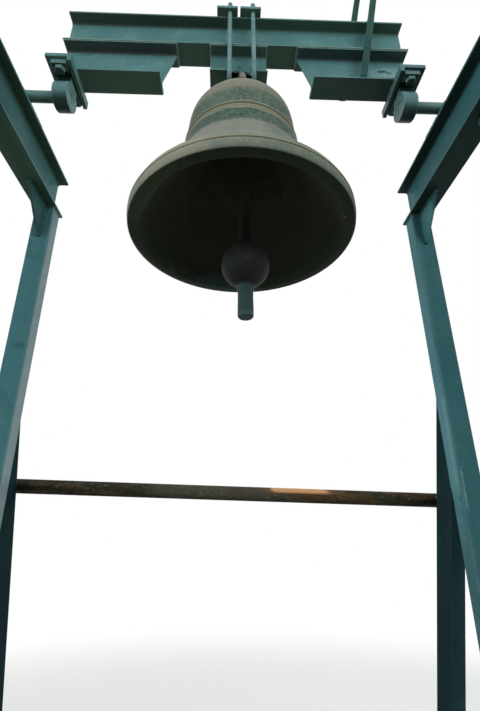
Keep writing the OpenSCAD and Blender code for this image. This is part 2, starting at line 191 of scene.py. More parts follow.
def bump(height, strength, distance):
    return outOf(height.id_data, "ShaderNodeBump", {"Height": height, "Strength": strength, "Distance": distance})


# An input's kind follows from its value; a word names the kind of one without a value
def newTree(name, takes, gives, kind="ShaderNodeTree"):
    tree = bpy.data.node_groups.new(name, kind)
    for label, value in takes.items():
        word = {3: "Vector", 4: "Color"}[len(value)] if isinstance(value, tuple) else type(value).__name__.title()
        word = value if isinstance(value, str) else word
        socket = tree.interface.new_socket(name=label, in_out="INPUT", socket_type="NodeSocket" + word)
        if word != value:
            socket.default_value = value
    for label, word in gives.items():
        tree.interface.new_socket(name=label, in_out="OUTPUT", socket_type="NodeSocket" + word)
    return tree, tree.nodes.new("NodeGroupInput").outputs, tree.nodes.new("NodeGroupOutput").inputs


def useGroup(tree, group, inputs):
    return addNode(tree, "ShaderNodeGroup", inputs, node_tree=group).outputs


def newMaterial(name):
    material = bpy.data.materials.new(name)
    material.use_nodes = True
    tree = material.node_tree
    return material, tree, tree.nodes["Principled BSDF"].inputs, objectPlace(tree)


def emptyTree(owner):
    owner.use_nodes = True
    owner.node_tree.nodes.clear()
    return owner.node_tree


# Light, world and floor
lamps = {  # place, aim, size and power
    "key": ((2.7, -3.7, 4.1), (0.1, 0, 3.0), 3.2, 160),
    "fill": ((-2.6, -3.4, 3.3), (0.0, 0.2, 2.6), 2.6, 62),
    "leftWindow": ((-3.9, -0.4, 2.7), (0.7, 0.2, 2.2), 2.8, 105),
    "rightWindow": ((3.4, 2.4, 2.9), (-0.6, 0, 2.3), 2.8, 100),
    "back": ((-1.4, 4.2, 4.2), (0, 0, 2.9), 4.0, 70),
}


def makeLight(name, place, aim, size, power):
    data = bpy.data.lights.new(name, "AREA")
    data.energy, data.size = power, size
    light = newObject(name, data)
    light.location = place
    light.rotation_euler = (Vector(aim) - Vector(place)).to_track_quat("-Z", "Y").to_euler()
    light.visible_glossy = False  # the gloss shows the pale room, not the lamps


for lampName, lamp in lamps.items():
    makeLight(lampName, *lamp)

white = {"Color": (1, 1, 1, 1), "Strength": 1.0}
worldSetup = {"colour": (0.93, 0.97, 1.0), "strength": 0.4}


def seenDirectly(tree):
    rays = addNode(tree, "ShaderNodeLightPath").outputs
    straight = calc("MAXIMUM", rays["Is Camera Ray"], rays["Is Glossy Ray"])
    return calc("MAXIMUM", straight, rays["Is Transmission Ray"])


def mixShaders(amount, first, second):
    return outOf(amount.id_data, "ShaderNodeMixShader", {0: amount, 1: first, 2: second})


def makeWorld(colour, strength):
    scene.world = bpy.data.worlds.new("room")
    tree = emptyTree(scene.world)
    soft = outOf(tree, "ShaderNodeBackground", {"Color": opaque(colour), "Strength": strength})
    bright = outOf(tree, "ShaderNodeBackground", white)
    addNode(tree, "ShaderNodeOutputWorld", {"Surface": mixShaders(seenDirectly(tree), soft, bright)})


makeWorld(**worldSetup)

floorSetup = {
    "reach": 40.0,
    "seen": (0.8, 0.8, 0.79),
    "bounce": (0.2, 0.205, 0.18),  # what the floor gives back to the undersides
    "fade": (2.2, 7.0),  # the floor turns white between these distances
}


def makeFloor(reach, seen, bounce, fade):
    mesh = bpy.data.meshes.new("floor")
    square = [(-reach, -reach, 0), (reach, -reach, 0), (reach, reach, 0), (-reach, reach, 0)]
    mesh.from_pydata(square, [], [(0, 1, 2, 3)])
    floor = newObject("floor", mesh)
    mesh.materials.append(bpy.data.materials.new("paleFloor"))
    tree = emptyTree(mesh.materials[0])
    near = outOf(tree, "ShaderNodeBsdfDiffuse", {"Color": opaque(seen)})
    far = outOf(tree, "ShaderNodeEmission", white)
    shown = mixShaders(ease(lengthOf(objectPlace(tree)), *fade), near, far)
    dim = outOf(tree, "ShaderNodeBsdfDiffuse", {"Color": opaque(bounce)})
    addNode(tree, "ShaderNodeOutputMaterial", {"Surface": mixShaders(seenDirectly(tree), dim, shown)})


makeFloor(**floorSetup)
print("camera, light and floor are in place")


# Effects that several materials share

def makeSpecks():
    takes = {"Scale": 60.0, "Cover": 0.4, "Softness": 0.06, "Stretch": (1, 1, 1)}
    group, given, out = newTree("specks", takes, {"Mask": "Float"})
    grain = noise(stretch(objectPlace(group), given["Stretch"]), given["Scale"], 4.0, 0.62)
    edge = minus(0.72, times(given["Cover"], 0.44))
    wire(out, {"Mask": ease(grain, edge, plus(edge, given["Softness"]))})
    return group


def speckMask(tree, scale, cover, softness, drawn=(1, 1, 1)):
    inputs = {"Scale": scale, "Cover": cover, "Softness": softness, "Stretch": drawn}
    return useGroup(tree, specks, inputs)["Mask"]


def makeEdgeWear():
    takes = {"Width": 0.005, "Scale": 45.0, "Amount": 0.5}
    group, given, out = newTree("edgeWear", takes, {"Mask": "Float", "Edge": "Float"})
    softened = outOf(group, "ShaderNodeBevel", {"Radius": given["Width"]}, samples=4)
    flat = addNode(group, "ShaderNodeNewGeometry").outputs["True Normal"]
    edge = ease(vectorCalc("DOT_PRODUCT", softened, flat, result="Value"), 0.995, 0.9)
    wire(out, {"Mask": times(edge, speckMask(group, given["Scale"], given["Amount"], 0.12)), "Edge": edge})
    return group


def makeRuns():
    group, given, out = newTree("runs", {"Scale": 26.0, "Amount": 0.4}, {"Mask": "Float"})
    place = objectPlace(group)
    streak = noise(stretch(place, (1.0, 1.0, 0.07)), given["Scale"], 3.0, 0.6)
    edge = minus(0.78, times(given["Amount"], 0.3))
    somewhere = ease(noise(place, 3.1, 2.0, 0.5), 0.42, 0.62)
    wire(out, {"Mask": times(ease(streak, edge, plus(edge, 0.16)), somewhere)})
    return group


def makeFacing():
    gives = {"Down": "Float", "Across": "Float", "Up": "Float"}
    group, given, out = newTree("facing", {"Amount": 1.0}, gives)
    normal = addNode(group, "ShaderNodeNewGeometry").outputs["Normal"]
    turn = {"vector_type": "NORMAL", "convert_from": "WORLD", "convert_to": "OBJECT"}
    x, y, z = axes(outOf(group, "ShaderNodeVectorTransform", {0: normal}, **turn))
    sideways = ease(calc("ABSOLUTE", x), 0.6, 0.95)
    masks = {"Down": ease(z, -0.35, -0.9), "Across": sideways, "Up": calc("MAXIMUM", z, 0.0)}
    wire(out, {label: times(mask, given["Amount"]) for label, mask in masks.items()})
    return group


def facingMask(tree, way, amount=1.0):
    return useGroup(tree, facing, {"Amount": amount})[way]


def runMask(tree, scale, amount):
    return useGroup(tree, runs, {"Scale": scale, "Amount": amount})["Mask"]


# A ragged mark about one place on a piece, with the outline of a rounded box
def makeMark():
    takes = {"Place": (0, 0, 0), "Reach": (0.02, 0.02, 0.02), "Grain": 60.0, "Ragged": 1.2}
    group, given, out = newTree("mark", takes, {"Mask": "Float"})
    place = objectPlace(group)
    away = vectorCalc("DIVIDE", vectorCalc("SUBTRACT", place, given["Place"]), given["Reach"])
    far = calc("SQRT", lengthOf(stretch(away, away)))
    torn = times(minus(noise(place, given["Grain"], 4.0, 0.6), 0.5), given["Ragged"])
    wire(out, {"Mask": ease(plus(far, torn), 1.0, 0.7)})
    return group


def markMask(tree, place, reach, ragged, grain=60.0):
    return useGroup(tree, mark, {"Place": place, "Reach": reach, "Ragged": ragged, "Grain": grain})["Mask"]


# Marks are rows of place, reach, strength, colour, how ragged and, if it isn't 60, the grain
def stamp(colour, marks, dry=None):
    for place, reach, strength, tone, *torn in marks:
        masks = [markMask(colour.id_data, place, reach, *torn), strength]
        # pale marks, scuffs and painted light alike, are broken up as if dry brushed
        if dry and tone[1] > 0.2:  # pale marks are dry brushed
            masks.append(dry)
        colour = tint(colour, tone, *masks)
    return colour


specks = makeSpecks()
edgeWear = makeEdgeWear()
runs = makeRuns()
facing = makeFacing()
mark = makeMark()


def camelName(words):
    first, *rest = words.split("_")
    return first + "".join(word.title() for word in rest)


# Old teal paint, brushed along each member
# Dust and rust, and the painted shade of faces turned sideways
paintDirtAndShade = {"dust": (0.17, 0.19, 0.155), "rust": (0.085, 0.035, 0.016), "turned": (0.006, 0.011, 0.013)}
# Painted shade on the faces turned down, at the left and at the right; the pale kind paints light there instead
lightAndShadeBelow = {  # at the left and at the right
    "open": ((0.06, 0.104, 0.065), (0.018, 0.028, 0.021)),
    "deep": ((0.014, 0.019, 0.016), (0.012, 0.014, 0.013)),
    "pale": ((0.13, 0.26, 0.24), (0.13, 0.26, 0.24)),
}
# Gloss, painted shade where turned sideways, light and dark coat, brush, patch scale, dust, painted shade below
# and its kind, rust, light on the edges, part wear and part painted highlight, and, for one, their own colour
paintLooks = {
    "frame_paint": (
        0.04, 0.0, (0.046, 0.142, 0.158), (0.026, 0.088, 0.098), (1, 1, 0.1), 2.6, 0.12, 0.82, "open", 0.2, 0.6),
    # the struts: the frame paint darkened as painted shade
    "strut_paint": (
        0.0, 0.5, (0.02, 0.055, 0.062), (0.011, 0.028, 0.034), (1, 1, 0.1), 3.0, 0.04, 0.5, "deep", 0.3, 0.25),
    "headstock_paint": (
        0.1, 0.0, (0.085, 0.197, 0.2), (0.052, 0.13, 0.133), (0.1, 1, 1), 3.4, 0.18, 0.8, "open", 0.26, 0.4),
    "bearing_paint": (
        0.15, 0.0, (0.085, 0.185, 0.19), (0.045, 0.11, 0.115), (0.6, 1, 1), 9.0, 0.25, 0.8, "deep", 0.25, 0.8,
        (0.38, 0.48, 0.43)),
    "shaft_paint": (
        0.2, 0.0, (0.1, 0.2, 0.2), (0.05, 0.11, 0.11), (0.15, 1, 1), 9.0, 0.3, 0.6, "open", 0.45, 0.4),
    "hanger_steel": (
        0.15, 0.0, (0.14, 0.25, 0.262), (0.08, 0.165, 0.172), (1, 1, 0.12), 12.0, 0.22, 0.2, "open", 0.4, 0.4),
    # the levers take the pale kind: painted light on their ends that face down
    "lever_paint": (
        0.05, 0.0, (0.02, 0.065, 0.057), (0.011, 0.043, 0.038), (1, 1, 0.12), 12.0, 0.04, 0.9, "pale", 0.3, 0.3),
    # the headstock's weld beads are paler, partly a painted highlight
    "weld": (
        0.1, 0.0, (0.26, 0.33, 0.28), (0.11, 0.19, 0.17), (1, 1, 1), 16.0, 0.4, 0.2, "open", 0.08, 0.3),
}
paintMarks = {
    "headstock_paint": [
        # painted shade by the rods and, darkest, in the notch under the web
        ((0.007, -0.003, 3.190), (0.009, 0.008, 0.009), 0.5, (0.012, 0.03, 0.03), 1.2),
        ((0.054, -0.003, 3.182), (0.008, 0.008, 0.014), 0.5, (0.01, 0.028, 0.03), 1.2),
        ((0.015, -0.003, 3.138), (0.047, 0.012, 0.034), 1.0, (0.007, 0.009, 0.006), 1.2),
        # painted highlight on the right block's web
        ((0.615, -0.003, 3.16), (0.125, 0.01, 0.06), 0.7, (0.21, 0.33, 0.36), 0.6),
        ((0.550, -0.003, 3.192), (0.017, 0.008, 0.008), 0.85, (0.02, 0.04, 0.045), 2.4),
        ((0.577, -0.003, 3.186), (0.015, 0.008, 0.008), 0.6, (0.02, 0.05, 0.055), 2.4),
        # painted shade on the flanges' undersides
        ((-0.36, -0.03, 3.405), (0.42, 0.045, 0.004), 0.8, (0.037, 0.061, 0.054), 0.4),
        ((-0.43, -0.03, 3.245), (0.3, 0.045, 0.004), 0.8, (0.047, 0.054, 0.057), 0.4),
        ((0.43, -0.03, 3.245), (0.3, 0.045, 0.004), 0.8, (0.05, 0.078, 0.087), 0.4),
    ],
    "frame_paint": [
        # painted shade on the right post's near face
        ((0.778, 0.28, 1.5), (0.0535, 0.1, 1.6), 0.5, (0.018, 0.076, 0.082), 0.1),
        # painted light on the right post's inner face
        ((0.73, 0.33, 2.25), (0.05, 0.0413, 0.75), 0.9, (0.088, 0.26, 0.305), 0.4),
        ((0.729, 0.3035, 1.83), (0.03, 0.0148, 0.19), 0.42, (0.2, 0.31, 0.31), 1.3),
        ((0.734, 0.287, 1.69), (0.0045, 0.004, 0.065), 0.5, (0.2, 0.31, 0.3), 1.3),
        # painted light on the left post's inner face, with some pale dust
        ((-0.73, 0.33, 1.9), (0.05, 0.0413, 1.0), 0.9, (0.27, 0.32, 0.33), 0.1),
        ((-0.748, 0.286, 2.17), (0.018, 0.006, 0.016), 0.4, (0.02, 0.04, 0.045), 1.2),
        # painted shade along the left rail
        ((-0.757, -0.3, 2.86), (0.03, 0.75, 0.14), 0.5, (0.035, 0.065, 0.05), 0.5),
        # painted shade on the left gusset, painted light on the right one
        ((-0.755, 0.205, 2.69), (0.012, 0.09, 0.09), 0.6, (0.012, 0.024, 0.024), 0.3),
        ((0.755, 0.235, 2.69), (0.012, 0.06, 0.085), 0.8, (0.11, 0.33, 0.34), 0.4),
    ],
    "bearing_paint": [
        # painted shade on the bosses' necks
        ((0.615, -0.04, 3.064), (0.06, 0.014, 0.022), 0.92, (0.004, 0.01, 0.009), 0.2),
        ((-0.615, -0.04, 3.064), (0.06, 0.014, 0.022), 0.92, (0.004, 0.01, 0.009), 0.2),
    ],
}


# worn is the colour of the lightened edges, partly worn paint and partly a painted highlight
def coatInputs(light, dark, brush, patch, dust, soot, shade, rust, edge, worn=(0.16, 0.25, 0.23)):
    left, right = lightAndShadeBelow[shade]
    return {
        "Light Coat": opaque(light), "Dark Coat": opaque(dark), "Brush": brush, "Patch Scale": patch,
        "Dust Colour": opaque(paintDirtAndShade["dust"]), "Dust": dust,
        "Rust Colour": opaque(paintDirtAndShade["rust"]), "Rust": rust,
        "Soot Left": opaque(left), "Soot Right": opaque(right), "Soot": soot,
        "Edge Colour": opaque(worn), "Edge Width": 0.004, "Edge Light": edge,
    }


def makePaintCoat():
    gives = {"Colour": "Color", "Roughness": "Float", "Height": "Float"}
    group, given, out = newTree("paintCoat", coatInputs(*paintLooks["frame_paint"][2:]), gives)
    place = objectPlace(group)
    patches = ease(noise(place, given["Patch Scale"], 5.0, 0.6, 0.4), 0.36, 0.66)
    strokes = noise(stretch(place, given["Brush"]), 70.0, 3.0, 0.6)
    smudge = ease(noise(place, 14.0, 4.0, 0.65, 0.8), 0.5, 0.72)
    shade = plus(times(patches, 0.55), times(strokes, 0.35))
    coat = blend(shade, given["Light Coat"], given["Dark Coat"])
    coat = blend(times(smudge, 0.22), coat, given["Light Coat"], "SCREEN")
    # dust lies in soft patches and in fine specks
    haze = ease(noise(place, 6.0, 4.0, 0.6), 0.48, 0.7)
    fine = speckMask(group, 230.0, 0.38, 0.08)
    dusty = times(plus(times(haze, 0.7), times(fine, 0.3)), given["Dust"])
    coat = blend(dusty, coat, given["Dust Colour"])
    # painted shade lies on the faces turned down, darker to the right but not on the headstock's top; the pale kind
    # paints light there instead
    across, _, up = axes(place)
    across = minus(across, ease(up, 3.3, 3.38))
    soot = blend(ease(across, 0.1, 0.55), given["Soot Left"], given["Soot Right"])
    coat = blend(facingMask(group, "Down", given["Soot"]), coat, soot)
    # chips and rust start at the edges and run down
    wear = useGroup(group, edgeWear, {"Width": given["Edge Width"], "Scale": 42.0, "Amount": 0.42})
    chips = speckMask(group, 34.0, 0.09, 0.02)
    bare = calc("MINIMUM", times(calc("MAXIMUM", wear["Mask"], chips), given["Rust"], 1.6), 1.0)
    rusty = calc("MAXIMUM", bare, times(runMask(group, 30.0, given["Rust"]), given["Rust"], 0.7))
    # edges are lightened: partly worn paint, partly a painted highlight
    wornAndLitEdges = times(wear["Edge"], ease(noise(place, 9.0, 3.0), 0.35, 0.6, 0.35, 1.0))
    coat = tint(coat, given["Edge Colour"], wornAndLitEdges, given["Edge Light"])
    rough = plus(times(patches, 0.14), times(dusty, 0.5), 0.34, times(rusty, 0.35))
    peel = noise(place, 320.0, 2.0, 0.5)
    height = plus(times(strokes, 0.6), times(peel, 0.25))
    wire(out, {
        "Colour": blend(rusty, coat, given["Rust Colour"]),
        "Roughness": calc("MINIMUM", rough, 0.95),
        "Height": minus(height, times(rusty, 0.5)),
    })
    return group


paintCoat = makePaintCoat()


def makePaint(slot, gloss, turned, *look):
    material, tree, shader, place = newMaterial(camelName(slot))
    coat = useGroup(tree, paintCoat, coatInputs(*look))
    colour = coat["Colour"]
    if slot in paintMarks:
        dry = ease(speckMask(tree, 110.0, 0.5, 0.3, (1, 1, 0.25)), 0.0, 1.0, 0.6, 1.0)
        colour = stamp(colour, paintMarks[slot], dry)
    # painted shade on the faces turned sideways
    if turned:
        colour = blend(facingMask(tree, "Across", turned), colour, paintDirtAndShade["turned"])
    wire(shader, {
        "Base Color": colour, "Roughness": coat["Roughness"], "Normal": bump(coat["Height"], 0.35, 0.0006),
        "Specular IOR Level": gloss,
    })
    return material


# Rusty scaffold tube: dark brown, greyer in the middle, with bare orange rust on top right of it
tubeLook = {
    "dark": (0.0165, 0.0175, 0.0125),
    "brown": (0.055, 0.034, 0.0155),
    "zinc": (0.06, 0.064, 0.047),
    # painted shade on the tube's underside
    "under": (0.011, 0.012, 0.009),
    "pale": (0.22, 0.2, 0.14),
    "warm": (0.15, 0.092, 0.042),
    "orange": (0.54, 0.3, 0.14),
    "zincFrom": (-0.05, 0.16, 0.3),  # middle along X, then where it begins to fade and where it ends
    "orangeFrom": (0.24, 0.06, 0.2),
}


def makeTubeRust(dark, brown, zinc, under, pale, warm, orange, zincFrom, orangeFrom):
    material, tree, shader, place = newMaterial("tubeRust")
    along = axes(place)[0]

    def window(middle, fade, end):
        return ease(calc("ABSOLUTE", minus(along, middle)), end, fade)

    above = facingMask(tree, "Up")
    drawn = stretch(place, (0.4, 1.0, 1.0))
    patches = noise(drawn, 22.0, 5.0, 0.65, 0.4)
    flaky = speckMask(tree, 62.0, 0.55, 0.12, (0.6, 1, 1))
    base = blend(ease(noise(drawn, 13.0, 5.0, 0.65, 0.5), 0.44, 0.62), dark, brown)
    base = tint(base, zinc, window(*zincFrom), ease(patches, 0.3, 0.55, 0.55, 1.0), 0.75)
    base = tint(base, zinc, flaky, 0.3)
    # painted shade on the tube's underside
    base = tint(base, under, facingMask(tree, "Down"), 0.35)
    base = tint(base, pale, speckMask(tree, 150.0, 0.3, 0.05), ease(patches, 0.45, 0.6, 0.1, 0.6))
    around = window(*orangeFrom)
    base = tint(base, warm, around, ease(above, 0.0, 0.4), 0.7)
    bare = times(ease(plus(patches, around), 1.15, 1.42), ease(above, 0.1, 0.6))
    grit = plus(noise(place, 150.0, 4.0, 0.7), times(bare, 0.6))
    wire(shader, {
        "Base Color": blend(bare, base, orange), "Roughness": ease(flaky, 0.0, 1.0, 0.86, 0.6),
        "Normal": bump(grit, 0.6, 0.0008), "Specular IOR Level": 0.15,
    })
    return material


# Cast bronze with bands of patina that follow the height on the bell
bellLook = {
    "centre": (0.015, 0.0, 0.0),
    "mouth": 2.425,
    "height": 0.526,
    "bands": [  # share of the height, colour
        (0.00, (0.135, 0.157, 0.125)), (0.03, (0.175, 0.2, 0.162)), (0.055, (0.195, 0.21, 0.165)),
        (0.075, (0.22, 0.23, 0.17)), (0.15, (0.187, 0.203, 0.163)), (0.28, (0.19, 0.201, 0.16)),
        (0.49, (0.19, 0.203, 0.17)), (0.513, (0.06, 0.104, 0.082)), (0.6, (0.057, 0.096, 0.077)),
        (0.617, (0.2, 0.2, 0.14)), (0.662, (0.205, 0.203, 0.145)), (0.69, (0.092, 0.136, 0.103)),
        (0.785, (0.095, 0.138, 0.108)), (0.825, (0.185, 0.188, 0.138)), (1.0, (0.22, 0.217, 0.175)),
    ],
    "speckled": [  # share of the height, how much of the specks shows
        (0.0, 0.3), (0.49, 0.12), (0.513, 1), (0.602, 1), (0.617, 0.08), (0.67, 0.1), (0.69, 0.9), (0.79, 0.8),
        (0.83, 0.12),
    ],
    "clouds": (0.095, 0.125, 0.1),
    # painted shade on the bell's right side
    "greener": (0.085, 0.112, 0.085),  # the right side is darker
    "darkSpeck": (0.02, 0.046, 0.036),
    "paleSpeck": (0.155, 0.2, 0.16),
    "stains": (0.06, 0.085, 0.07),
    "wires": (0.23, 0.235, 0.16),
    # painted shadow lines under the top wire and the lowest wire
    "lines": [  # share of the height, width, strength, colour
        (0.6545, 0.0048, 0.85, (0.06, 0.055, 0.028)), (0.0585, 0.004, 0.4, (0.09, 0.095, 0.045)),
    ],
    "outsideMarks": [
        ((-0.17, -0.28, 2.44), (0.11, 0.11, 0.045), 0.55, (0.246, 0.238, 0.17), 1.0, 20.0),
        # painted shade on the lip's right side
        ((0.36, -0.07, 2.44), (0.1, 0.19, 0.05), 0.65, (0.05, 0.06, 0.048), 0.7, 30.0),
    ],
    "crownPale": (0.2, 0.235, 0.19),
    # the crown is dark below as painted shade
    "crownDark": (0.02, 0.022, 0.012),
    "crownTurn": 3.088,  # pale above this height
    # pale patina with painted light where the front loop shows in the notch
    "crownMarks": [  # chalky where the front loop shows in the notch
        ((0.0185, -0.1, 3.014), (0.0125, 0.02, 0.02), 0.8, (0.165, 0.195, 0.152), 1.2, 120.0),
    ],
    "insideDark": (0.125, 0.127, 0.086),  # deep inside
    # dark patina deepened with painted shade, darkest at the lip
    "insideLow": (0.024, 0.0265, 0.0185),
    "insideLip": (0.0132, 0.0195, 0.0115),
    "insideClouds": (0.012, 0.013, 0.009),
    "wornAt": ((-0.25, 0.19, 2.43), (0.1, 0.13, 0.05), 1.4, 50.0),
    "wornStain": (0.055, 0.057, 0.04),
    "wornLip": (0.1, 0.104, 0.078),
    "wornRadius": (0.334, 0.341),
    "insideMarks": [
        ((-0.05, 0.335, 2.43), (0.16, 0.085, 0.05), 0.7, (0.034, 0.058, 0.058), 1.0, 14.0),
        ((-0.24, -0.21, 2.43), (0.12, 0.15, 0.06), 0.65, (0.03, 0.05, 0.026), 1.2, 30.0),
        ((0.3112, -0.1057, 2.427), (0.006, 0.006, 0.01), 0.8, (0.09, 0.1, 0.08), 0.8, 200.0),
    ],
}


def makeBellBronze(centre, mouth, height, bands, speckled, clouds, greener, darkSpeck, paleSpeck, stains, wires,
                   lines, outsideMarks, crownPale, crownDark, crownTurn, crownMarks, insideDark, insideLow,
                   insideLip, insideClouds, wornAt, wornStain, wornLip, wornRadius, insideMarks):
    material, tree, shader, place = newMaterial("bellBronze")
    sideways, _, up = axes(place)
    share = calc("DIVIDE", minus(up, mouth), height)
    wander = minus(noise(place, 16.0, 4.0, 0.6), 0.5)
    uneven = plus(share, times(wander, 0.05))
    cloud = ease(noise(place, 7.0, 5.0, 0.62, 0.6), 0.35, 0.68)
    skin = tint(colourSteps(uneven, bands), clouds, cloud, 0.22)
    # painted shade: the bell's right side is darker
    skin = tint(skin, greener, ease(plus(sideways, times(wander, 0.12)), 0.0, 0.13), 0.45)
    # specks and blotches, mostly in the dark bands and to the right
    greys = colourSteps(uneven, [(at, (amount,) * 3) for at, amount in speckled])
    speckle = times(greys, ease(sideways, -0.13, 0.03, 0.55, 1.0))
    blotches = ease(noise(place, 48.0, 4.0, 0.68, 0.3), 0.5, 0.62)
    darkSpots = calc("MAXIMUM", speckMask(tree, 88.0, 0.6, 0.09), times(blotches, 0.65))
    skin = tint(skin, darkSpeck, darkSpots, speckle, 0.75)
    skin = tint(skin, paleSpeck, speckMask(tree, 75.0, 0.36, 0.08), speckle, 0.55)
    skin = tint(skin, stains, runMask(tree, 34.0, 0.5), 0.28)
    skin = tint(skin, wires, attribute(tree, "wire"), ease(noise(place, 60.0, 3.0), 0.3, 0.55, 0.55, 1.0))
    # painted shadow lines under the wires
    for at, width, strength, colour in lines:
        line = ease(calc("ABSOLUTE", minus(share, at)), width, width * 0.35)
        skin = tint(skin, colour, line, ease(noise(place, 22.0, 3.0), 0.3, 0.5, 0.5, 1.0), strength)
    # the crown, above the head: dark below as painted shade, paler on top, partly pale patina and partly painted
    # light
    turned = ease(plus(up, times(wander, 0.02)), crownTurn - 0.004, crownTurn + 0.004)
    crown = tint(blend(turned, crownDark, crownPale), crownDark, darkSpots, 0.55)
    head = mouth + height
    skin = blend(ease(up, head + 0.002, head + 0.008), skin, stamp(crown, crownMarks))
    # the inside, dark patina deepened with painted shade toward the lip, with one worn stretch of the lip
    inside = attribute(tree, "inside")
    within = blend(ease(share, 0.12, 0.7), insideLow, insideDark)
    within = blend(ease(share, 0.2, 0.02), within, insideLip)
    within = tint(within, insideClouds, cloud, 0.4)
    radius = lengthOf(stretch(vectorCalc("SUBTRACT", place, centre), (1, 1, 0)))
    worn = markMask(tree, *wornAt)
    within = tint(within, wornStain, worn, ease(noise(place, 34.0, 4.0, 0.65), 0.52, 0.66, 0.0, 0.5))
    within = tint(within, wornLip, worn, ease(radius, *wornRadius), 0.85)
    sheen = plus(0.44, times(cloud, 0.16), times(speckle, 0.1))
    cast = minus(noise(place, 60.0, 4.0, 0.6), times(speckMask(tree, 210.0, 0.3, 0.12), 0.5))
    wire(shader, {
        "Base Color": blend(inside, stamp(skin, outsideMarks), stamp(within, insideMarks)),
        "Roughness": calc("MAXIMUM", sheen, times(inside, 0.75)), "Metallic": 0.1,
        "Normal": bump(cast, 0.4, 0.001), "Specular IOR Level": 0.15,
    })
    return material


# Dark forged iron, bluish where old paint is left, bright where the ball strikes
ironLook = {
    "iron": (0.0088, 0.011, 0.0115),
    "brown": (0.011, 0.0105, 0.0095),
    "paint": (0.024, 0.046, 0.049),
    "paintFrom": 2.248,  # below this height the old paint is left
    "fleck": (0.025, 0.028, 0.028),
    "shank": (0.085, 0.088, 0.06),
    "shankFrom": (2.385, 2.6),  # the shank is dustier toward its top
    "end": (0.046, 0.075, 0.08),
    "endFrom": (2.166, 2.15),
    "struck": (0.02, 0.0205, 0.02),
    "ball": (0.027, 2.321),  # its middle along X and its height
}


def makeClapperIron(iron, brown, paint, paintFrom, fleck, shank, shankFrom, end, endFrom, struck, ball):
    material, tree, shader, place = newMaterial("clapperIron")
    across, forward, up = axes(place)
    cloud = ease(noise(place, 18.0, 5.0, 0.62, 0.5), 0.38, 0.66)
    painted = ease(plus(up, times(cloud, 0.006)), paintFrom + 0.006, paintFrom - 0.004)
    base = blend(painted, blend(cloud, iron, brown), paint)
    base = tint(base, fleck, speckMask(tree, 90.0, 0.4, 0.08), 0.3)
    base = blend(ease(up, *shankFrom), base, shank)
    base = blend(ease(up, *endFrom, 0.0, 0.85), base, end)
    across, upright = minus(across, ball[0]), minus(up, ball[1])
    spread = calc("SQRT", plus(times(across, across), times(upright, upright)))
    near = times(ease(spread, 0.034, 0.014), ease(calc("ABSOLUTE", forward), 0.05, 0.064))
    hit = times(near, ease(noise(place, 80.0, 3.0), 0.35, 0.55))
    hammered = plus(noise(place, 40.0, 3.0, 0.5), times(noise(place, 240.0, 2.0), 0.3))
    wire(shader, {
        "Base Color": blend(hit, base, struck), "Roughness": ease(hit, 0.0, 1.0, 0.62, 0.45),
        "Metallic": ease(hit, 0.0, 1.0, 0.0, 0.35), "Normal": bump(hammered, 0.5, 0.0012),
        "Specular IOR Level": 0.12,
    })
    return material


materials = {slot: makePaint(slot, *look) for slot, look in paintLooks.items()}
materials["rusty_tube"] = makeTubeRust(**tubeLook)
materials["bell_bronze"] = makeBellBronze(**bellLook)
materials["clapper_iron"] = makeClapperIron(**ironLook)
print("materials are ready:", len(materials))


# Pieces

def addPiece(piece, body, slot):
    if not piece.data.materials:
        piece.data.materials.append(materials[slot])
    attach(piece, body)
    return piece


# Opens a mesh, or a copy of the source, for edits
@contextmanager
def reshaping(mesh, source=None):
    shape = bmesh.new()
    shape.from_mesh(source or mesh)
    yield shape
    shape.to_mesh(mesh)
    shape.free()


def faceOut(shape):
    bmesh.ops.recalc_face_normals(shape, faces=shape.faces)


def shadeSmooth(mesh, sharpFrom):
    mesh.shade_smooth()
    mesh.set_sharp_from_angle(angle=radians(sharpFrom))


# Every steel node but the tube gets rounded edges; the radius suits how the piece was made
steelEdges = {
    "rail": 0.0018, "post": 0.004, "gusset": 0.0012, "strut": 0.0016, "feet": 0.0015, "tube": 0.0,
    "seat": 0.003, "shaft": 0.002, "beam": 0.0018, "block": 0.0016, "bracket": 0.0018, "boss": 0.0016,
    "plate": 0.0016, "hanger": 0.001, "bar": 0.0014, "staple": 0.002,
}
# the struts' own paint is darkened as painted shade
ownPaint = {"strut": "strut_paint", "bar": "lever_paint"}  # kinds with a paint of their own
seatSlope = {"start": 0.7225, "height": 2.950, "lean": 26.0}


# A seat's inner side slopes back from the rail's edge; the cut closes round the bore
def slopeSeat(shape, out, start, height, lean):
    across = (-out * cos(radians(lean)), 0, sin(radians(lean)))
    ring = bmesh.ops.bisect_plane(
        shape, geom=shape.verts[:] + shape.edges[:] + shape.faces[:], dist=1e-6,
        plane_co=(out * start, 0, height), plane_no=across, clear_outer=True)
    cutEdges = [item for item in ring["geom_cut"] if isinstance(item, bmesh.types.BMEdge)]
    bmesh.ops.triangle_fill(shape, use_beauty=True, use_dissolve=False, edges=cutEdges)
    faceOut(shape)


